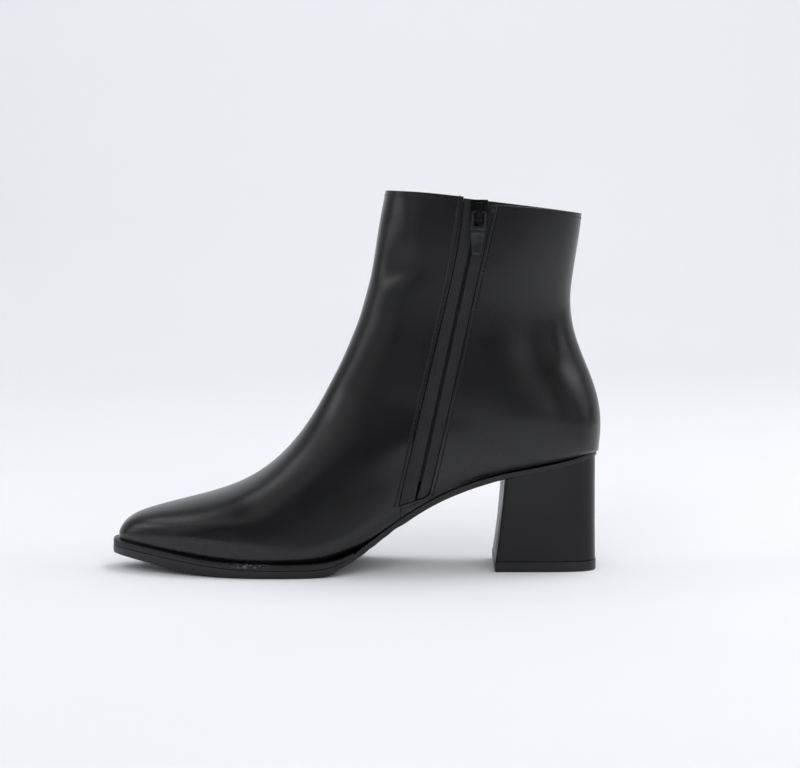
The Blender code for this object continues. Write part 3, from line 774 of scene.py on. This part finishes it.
def beside_zip(face):
    """Whether a face lies at the zip's opening, on the inner side of the foot."""
    x, y, z = face.center
    return abs(x - zip_x(z)) < ZIP_BESIDE * MM and ZIP_END[1] * MM < z and y < 0


def press_creases(piece, share):
    """Moves the wall in or out along each soft line of the table."""
    tree = tree_of(piece)
    points = vertices_of(piece)
    moved = points.copy()
    for crease in CREASES:
        for side in (-1, 1):
            if crease.side not in (0, side):
                continue
            push = np.zeros_like(points)
            for f in np.linspace(0, 1, CREASE_STEPS):
                x = (crease.x_from + f * (crease.x_to - crease.x_from)) * MM
                z = (crease.z_from + f * (crease.z_to - crease.z_from)) * MM
                place, normal = from_side(tree, x, z, side)
                if place is None:
                    continue
                away = (points - np.array(place)) / MM
                upright = np.where(away[:, 2] > 0, crease.above, crease.below)
                level = (crease.above + crease.below) / 2
                far = (away[:, 2] / upright) ** 2 + (away[:, 0] ** 2 + away[:, 1] ** 2) / level**2
                fade = math.sin(math.pi * (CREASE_ENDS + (1 - 2 * CREASE_ENDS) * f))
                push += np.outer(fade * np.exp(-far), normal)
            deepest = np.linalg.norm(push, axis=1).max()
            if deepest == 0.0:
                raise RuntimeError(f"the crease {crease.name} doesn't meet the upper")
            moved -= push * crease.depth * MM * share / deepest
    piece.data.vertices.foreach_set("co", moved.astype(np.float32).ravel())
    piece.data.update()


def turn_up_edge(piece):
    """Turns the upper end of the zip's front edge more upright, with the tape under it."""
    points = vertices_of(piece)
    x, y, z = points.T / MM
    before = zip_x(points[:, 2]) / MM - x
    share = np.interp(before, *EDGE_TURN_SPREAD)
    rise = (z - EDGE_TURN_FROM) / (ZIP_TOP[1] - EDGE_TURN_FROM)
    rise = np.clip(rise, 0, EDGE_TURN_MOST)
    points[:, 0] -= np.where(y < 0, EDGE_TURN * share * rise**2, 0.0) * MM
    piece.data.vertices.foreach_set("co", points.astype(np.float32).ravel())
    piece.data.update()


def zip_rows(sizes):
    """The rows of thread beside the zip, as lists of places seen from the side, in metres."""
    rows = {}
    for edge, way in (("front", -1), ("back", 1)):
        rows[edge] = [(p.x + way * sizes.stitch_in, p.z) for p in found[edge]]
    rows["close"] = [(x * MM, z * MM) for x, z in ZIP_CLOSE]
    return rows


class BOOT_OT_upper(bpy.types.Operator):
    """Upper: one leather wall with its lining, soft creases and rounded edges"""

    bl_idname = "boot.upper"
    bl_label = "Upper"

    def execute(self, context):
        sizes, colours = context.scene.boot_sizes, context.scene.boot_colours
        piece = copy_of("upper", "boot_upper")
        turn_up_edge(piece)
        keep_sharp(piece)
        faces = piece.data.polygons
        back = max(range(len(faces)), key=lambda k: faces[k].center.x)
        outer = region(piece, back)
        behind = faces[back].center - faces[back].normal * WALL * MM
        near = [k for k in range(len(faces)) if not outer[k]]
        inner = region(piece, min(near, key=lambda k: (faces[k].center - behind).length))
        for edge, way in (("front", 1), ("back", -1)):
            points = edge_of_skin(
                piece, outer, lambda face: beside_zip(face) and way * face.normal.x > ROUGHLY
            )
            found[edge] = sorted(points, key=lambda point: point.z)
        found["rim"] = edge_of_skin(
            piece, outer, lambda face: face.center.z > COLLAR_FROM * MM and not beside_zip(face)
        )
        if min(len(found[edge]) for edge in ("front", "back", "rim")) < EDGE_POINTS:
            raise RuntimeError("the edges of the zip and the collar were not found on the upper")
        rows = zip_rows(sizes)
        # The rows of thread lie in pressed lines: straight up to where the edge turns, and on.
        lines = []
        for row in (rows["front"], rows["back"]):
            bend = min(row, key=lambda place: abs(place[1] - EDGE_TURN_FROM * MM))
            lines += [(row[0], bend, LINE_WIDTH * MM), (bend, row[-1], LINE_WIDTH * MM)]
        lines.append(pressed_line(SEAM_BELOW_ZIP, LINE_WIDTH))
        calf = leather_material(
            "black calf leather", colours.leather, roughness=0.29, grain=0.10, lines=lines
        )
        lining = leather_material("black lining leather", colours.lining, roughness=0.6, grain=0.3)
        for leather in (calf, lining):
            piece.data.materials.append(leather)
        piece.data.polygons.foreach_set("material_index", inner.astype(np.int32))
        apply(piece, "SUBSURF", levels=2, render_levels=2)
        press_creases(piece, sizes.crease_share)
        round_off(piece, sizes.edge_round)
        found["upper"] = tree_of(piece)
        settle(piece, calf, ["upper"])
        return {"FINISHED"}


class BOOT_OT_sole(bpy.types.Operator):
    """Sole, welt and heel tip"""

    bl_idname = "boot.sole"
    bl_label = "Sole"

    def execute(self, context):
        colours = context.scene.boot_colours
        rubber = rubber_material("moulded black rubber", colours.rubber, colours.scuff)
        upper = found["upper"]
        # Behind the welt, the sole's edge is drawn up tight against the upper.
        outsole = copy_of("outsole", "boot_outsole")
        welt_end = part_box("welt")[1].x
        top = facing(outsole, lambda face: face.normal.z > ROUGHLY and face.center.x > welt_end)
        reach(outsole, top, upper, LEATHER_ROOM, SOLE_REACH, SOLE_NEIGHBOUR)
        settle(refine(outsole, 2, SOLE_EDGE * MM), rubber, ["outsole"])
        found["outsole"] = tree_of(outsole)
        # The welt is sewn tight between the sole and the upper.
        welt = copy_of("welt", "boot_welt")
        inner = facing(
            welt,
            lambda face: abs(face.normal.z) < ROUGHLY
            and upper.ray_cast(face.center, face.normal, NEIGHBOUR * MM)[0] is not None,
        )
        bottom = facing(welt, lambda face: face.normal.z < -ROUGHLY)
        reach(welt, bottom, found["outsole"], GLUE_ROOM, GLUE_REACH)
        select_faces(welt, lambda face: face.normal.z > ROUGHLY)
        bpy.ops.transform.translate(value=(0.0, 0.0, WELT_RISE * MM))
        leave()
        reach(welt, inner, upper, LEATHER_ROOM, WELT_REACH)
        settle(refine(welt, 2, SOLE_EDGE * MM), rubber, ["welt"])
        tip = refine(copy_of("heel_tip", "boot_heel_tip"), 2, SOLE_EDGE * MM, HARD_DEG)
        settle(tip, rubber, ["heel_tip"])
        return {"FINISHED"}


class BOOT_OT_heel(bpy.types.Operator):
    """Heel block with its leather cover"""

    bl_idname = "boot.heel"
    bl_label = "Heel"

    def execute(self, context):
        colours = context.scene.boot_colours
        cover = leather_material(
            "black heel cover leather",
            colours.leather,
            roughness=0.36,
            grain=0.08,
            lines=[pressed_line(HEEL_FOLD, HEEL_FOLD_WIDTH)],
            gloss=0.36,
        )
        heel = copy_of("heel_block", "boot_heel")
        top = facing(heel, lambda face: face.normal.z > ROUGHLY)
        reach(heel, top, found["outsole"], GLUE_ROOM, GLUE_REACH)
        settle(refine(heel, 3, HEEL_EDGE * MM, HARD_DEG), cover, ["heel_block"])
        return {"FINISHED"}


class BOOT_OT_insole(bpy.types.Operator):
    """Insole with its sock"""

    bl_idname = "boot.insole"
    bl_label = "Insole"

    def execute(self, context):
        colours = context.scene.boot_colours
        sock = leather_material("black sock leather", colours.lining, roughness=0.62, grain=0.3)
        insole = refine(copy_of("insole", "boot_insole"), 3, INSOLE_EDGE * MM)
        settle(insole, sock, ["insole"])
        return {"FINISHED"}


class BOOT_OT_zip(bpy.types.Operator):
    """Zip tapes and the coil behind the slit"""

    bl_idname = "boot.zip"
    bl_label = "Zip"

    def execute(self, context):
        sizes, colours = context.scene.boot_sizes, context.scene.boot_colours
        woven = tape_material("woven zip tape", colours.tape)
        # Each tape runs down to the end of the opening, and leaves a slit beside the other one.
        for node, way in (("zip_tape_front", 1), ("zip_tape_back", -1)):
            tape = copy_of(node, "boot_" + node)
            turn_up_edge(tape)
            end = facing(tape, lambda face: face.normal.z < -SQUARELY)
            reach(tape, end, found["upper"], TAPE_ROOM, TAPE_REACH)
            select_faces(tape, lambda face: way * face.normal.x > ROUGHLY)
            bpy.ops.transform.translate(value=(-way * sizes.slit_more, 0.0, 0.0))
            leave()
            settle(refine(tape, 2, TAPE_EDGE * MM), woven, [node])
        # The tape's folded end.
        x, z = TAPE_ROLL.x * MM, TAPE_ROLL.z * MM
        place, _ = from_side(found["upper"], x + TAPE_ROLL.behind * MM, z)
        if place is None or place.y > 0:
            raise RuntimeError("the leather behind the zip was not met beside the slider")
        roll = start_from(
            bpy.ops.mesh.primitive_cylinder_add,
            vertices=14,
            radius=TAPE_ROLL.radius * MM,
            depth=TAPE_ROLL.length * MM,
            location=(x, place.y - TAPE_ROLL.out * MM, z),
        )
        roll.name = roll.data.name = "boot_zip_tape_roll"
        roll.scale = (1.0, TAPE_ROLL.flat, 1.0)
        roll.rotation_euler = (0.0, math.radians(TAPE_ROLL.slant_deg), 0.0)
        bpy.ops.object.transform_apply(location=True, rotation=True, scale=True)
        apply(roll, "SUBSURF", levels=1, render_levels=1)
        round_off(roll, ROLL_EDGE * MM, HARD_DEG)
        settle(roll, woven)
        # The coil and chain are black nylon drawn darker still, as painted shade for the slit in
        # front of them.
        nylon = thread_material("nylon zip coil", colours.coil, 0.7)
        # The chain runs up to the slider.
        strip = copy_of("zip_chain", "boot_zip_chain")
        low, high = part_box("zip_chain")
        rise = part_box("zip_slider")[0].z - high.z - TAPE_ROOM * MM
        select_faces(strip, lambda face: face.normal.z > SQUARELY)
        bpy.ops.transform.translate(value=(zip_x(rise) - zip_x(0.0), 0.0, rise))
        leave()
        refine(strip, 1, CHAIN_EDGE * MM)
        tree = tree_of(strip)
        path = []
        start, stop = low.z + COIL.start * MM, high.z + rise - COIL.stop * MM
        for z in np.linspace(start, stop, COIL.places):
            place, _ = from_side(tree, zip_x(z), z)
            if place is not None:
                path.append(place)
        turn = start_from(
            bpy.ops.mesh.primitive_torus_add,
            major_radius=COIL.radius * MM,
            minor_radius=COIL.wire * MM,
            major_segments=12,
            minor_segments=6,
        )
        turn.scale = (COIL.flat, 1.0, 1.0)
        bpy.ops.object.transform_apply(scale=True)
        bpy.ops.object.shade_smooth()
        points = spaced(path, sizes.coil_pitch)
        ahead = np.gradient(points, axis=0)
        out = Vector((0, -1, 0))
        coil = copies(turn, "boot_zip_coil", [(p, a, out) for p, a in zip(points, ahead)])
        settle(strip, nylon, ["zip_chain"])
        settle(coil, nylon)
        return {"FINISHED"}


class BOOT_OT_slider(bpy.types.Operator):
    """Slider, and the pull tab that hangs from it"""

    bl_idname = "boot.slider"
    bl_label = "Slider and pull"

    def execute(self, context):
        colours = context.scene.boot_colours
        plated = plated_material("black plated zinc", colours.metal)
        slider = copy_of("zip_slider", "boot_zip_slider")
        round_off(slider, SLIDER_EDGE * MM, HARD_DEG, 3)
        dull = plated_material("black lacquered zinc", colours.slider)
        settle(slider, dull, ["zip_slider"])

        joint = frame["record"]["behaviour"]["joints"][0]
        hinge, bar = Vector(joint["pos_m"]), Vector(joint["axis"])
        up = Vector((bar.z, 0.0, -bar.x))
        pull = copy_of("zip_pull", "boot_zip_pull")
        edit(pull, "FACE", "SELECT")
        bpy.ops.mesh.dissolve_limited(angle_limit=math.radians(FLAT_DEG))
        for panel in PULL_PANELS:
            for below in (panel.start, panel.end):
                bpy.ops.mesh.select_all(action="SELECT")
                bpy.ops.mesh.bisect(plane_co=hinge - up * below * MM, plane_no=up)
        leave()
        for panel in PULL_PANELS:
            select_faces(
                pull,
                lambda face: face.normal.y < -SQUARELY
                and panel.start * MM < (hinge - face.center).dot(up) < panel.end * MM,
            )
            bpy.ops.mesh.inset(thickness=panel.rim * MM, depth=-panel.depth * MM)
            leave()
        round_off(pull, PULL_EDGE * MM, HARD_DEG)
        settle(pull, plated, ["zip_pull"], PULL_BODY)
        return {"FINISHED"}


class BOOT_OT_stitches(bpy.types.Operator):
    """Rows of stitches beside the zip and round the collar"""

    bl_idname = "boot.stitches"
    bl_label = "Stitches"

    def execute(self, context):
        sizes = context.scene.boot_sizes
        thread = thread_material("waxed thread", context.scene.boot_colours.thread, 0.5)
        upper = found["upper"]
        rows = {}
        for name, row in zip_rows(sizes).items():
            met = [from_side(upper, x, z)[0] for x, z in row]
            rows[name] = [place for place in met if place is not None and place.y < 0]
        # Round the collar, from one side of the zip to the other.
        middle = sum(found["rim"], Vector()) / len(found["rim"])
        gap = math.atan2(-COLLAR_HALF * MM, zip_x(ZIP_TOP[1] * MM) - middle.x)
        ordered = sorted(
            found["rim"],
            key=lambda p: (math.atan2(p.y - middle.y, p.x - middle.x) - gap) % math.tau,
        )
        rows["collar"] = [p - Vector((0.0, 0.0, sizes.collar_in)) for p in ordered]
        for name, row in rows.items():
            points = spaced(row, sizes.stitch_pitch)
            places = []
            for point, ahead in zip(points, np.gradient(points, axis=0)):
                place, normal, _, _ = upper.find_nearest(Vector(point))
                places.append((place + normal * STITCH_OUT * sizes.thread, ahead, normal))
            ball = {"segments": 8, "ring_count": 6, "radius": 0.5}
            stitch = start_from(bpy.ops.mesh.primitive_uv_sphere_add, **ball)
            stitch.scale = (sizes.stitch_length, sizes.thread, STITCH_THICK * sizes.thread)
            bpy.ops.object.transform_apply(scale=True)
            bpy.ops.object.shade_smooth()
            settle(copies(stitch, "boot_stitches_" + name, places), thread)
        return {"FINISHED"}


class BOOT_OT_stage(bpy.types.Operator):
    """Pale seamless floor, soft light and the camera"""

    bl_idname = "boot.stage"
    bl_label = "Stage"

    def execute(self, context):
        studio, colours = context.scene.boot_studio, context.scene.boot_colours
        sweep = start_from(bpy.ops.mesh.primitive_plane_add, size=1.0)
        sweep.name = "studio_sweep"
        sweep.scale = (*PAPER_SIZE, 1.0)
        sweep.location = (*PAPER_AT, 0.0)
        bpy.ops.object.transform_apply(location=True, scale=True)
        edit(sweep, "EDGE")
        leave()
        for edge in sweep.data.edges:
            edge.select = all(sweep.data.vertices[v].co.y > PAPER_AT[1] for v in edge.vertices)
        bpy.ops.object.mode_set(mode="EDIT")
        bpy.ops.mesh.extrude_region_move(TRANSFORM_OT_translate={"value": (0.0, 0.0, PAPER_RISE)})
        leave()
        apply(
            sweep,
            "BEVEL",
            width=PAPER_BEND,
            segments=PAPER_BEND_STEPS,
            limit_method="ANGLE",
            angle_limit=math.radians(SHARP_DEG),
        )
        bpy.ops.object.shade_smooth()
        sweep.data.materials.append(floor_material("seamless paper", colours.floor))
        # The paper ends before the camera; the room's darker floor goes on from there.
        below = (0.0, 0.0, GROUND_Z)
        ground = start_from(bpy.ops.mesh.primitive_plane_add, size=GROUND_SIZE, location=below)
        bpy.ops.object.transform_apply(location=True)
        ground.name = "studio_ground"
        ground.data.materials.append(floor_material("painted studio floor", colours.ground))

        aim = Vector(SOFTBOX_AIM)
        lights = [(*light[:4], light.power * studio.floor_share) for light in FLOOR_LIGHTS]
        for lift, row in SOFTBOXES.items():
            level, high = math.cos(math.radians(lift)), math.sin(math.radians(lift))
            for turn, power in row:
                across, near = math.sin(math.radians(turn)), math.cos(math.radians(turn))
                place = aim + SOFTBOX_AWAY * Vector((level * across, -level * near, high))
                lights.append(("soft_box", place, aim, SOFTBOX_SIZE, power * studio.soft_share))
        for name, place, looks_at, size, power in lights:
            turn = (Vector(looks_at) - Vector(place)).to_track_quat("-Z", "Y").to_euler()
            bpy.ops.object.light_add(type="AREA", location=place, rotation=turn)
            light = bpy.context.view_layer.objects.active
            light.name = name
            light.visible_camera = False
            light.visible_glossy = name == "soft_box"
            light.data.shape = "RECTANGLE"
            light.data.size, light.data.size_y = size
            light.data.energy = power
            light.data.color = studio.light_colour[:3]

        world = bpy.data.worlds.new("studio room")
        world.use_nodes = True
        shade = world.node_tree.nodes["Background"]
        shade.inputs["Color"].default_value = studio.room_colour
        shade.inputs["Strength"].default_value = studio.room
        context.scene.world = world

        target = Vector(CAMERA_AIM)
        place = Vector((target.x, target.y - studio.distance, studio.eye_height))
        bpy.ops.object.camera_add(location=place)
        camera = bpy.context.view_layer.objects.active
        camera.rotation_euler = (target - place).to_track_quat("-Z", "Y").to_euler()
        camera.data.sensor_fit = "HORIZONTAL"
        camera.data.sensor_width = CAMERA_SENSOR
        camera.data.lens = studio.lens
        camera.data.clip_start, camera.data.clip_end = CAMERA_CLIP
        context.scene.camera = camera
        context.scene.view_settings.view_transform = "Standard"
        return {"FINISHED"}


class BOOT_PT_panel(bpy.types.Panel):
    """The boot's pieces, in the order in which they are made"""

    bl_label = "Ankle boot"
    bl_idname = "BOOT_PT_panel"
    bl_space_type = "VIEW_3D"
    bl_region_type = "UI"
    bl_category = "Boot"

    def draw(self, context):
        for operator in OPERATORS:
            self.layout.operator(operator.bl_idname)
        scene = context.scene
        for group in (scene.boot_sizes, scene.boot_colours, scene.boot_studio):
            for name in group.bl_rna.properties.keys():
                if name not in ("rna_type", "name"):
                    self.layout.prop(group, name)


OPERATORS = (
    BOOT_OT_upper,
    BOOT_OT_sole,
    BOOT_OT_heel,
    BOOT_OT_insole,
    BOOT_OT_zip,
    BOOT_OT_slider,
    BOOT_OT_stitches,
    BOOT_OT_stage,
)
CLASSES = (BootSizes, BootColours, BootStudio, *OPERATORS, BOOT_PT_panel)


def register():
    for made in CLASSES:
        bpy.utils.register_class(made)
    bpy.types.Scene.boot_sizes = bpy.props.PointerProperty(type=BootSizes)
    bpy.types.Scene.boot_colours = bpy.props.PointerProperty(type=BootColours)
    bpy.types.Scene.boot_studio = bpy.props.PointerProperty(type=BootStudio)


def unregister():
    del bpy.types.Scene.boot_studio
    del bpy.types.Scene.boot_colours
    del bpy.types.Scene.boot_sizes
    for made in reversed(CLASSES):
        bpy.utils.unregister_class(made)


def main():
    register()
    bpy.ops.boot.upper()
    bpy.ops.boot.sole()
    bpy.ops.boot.heel()
    bpy.ops.boot.insole()
    bpy.ops.boot.zip()
    bpy.ops.boot.slider()
    bpy.ops.boot.stitches()
    bpy.ops.boot.stage()


if __name__ == "__main__":
    main()
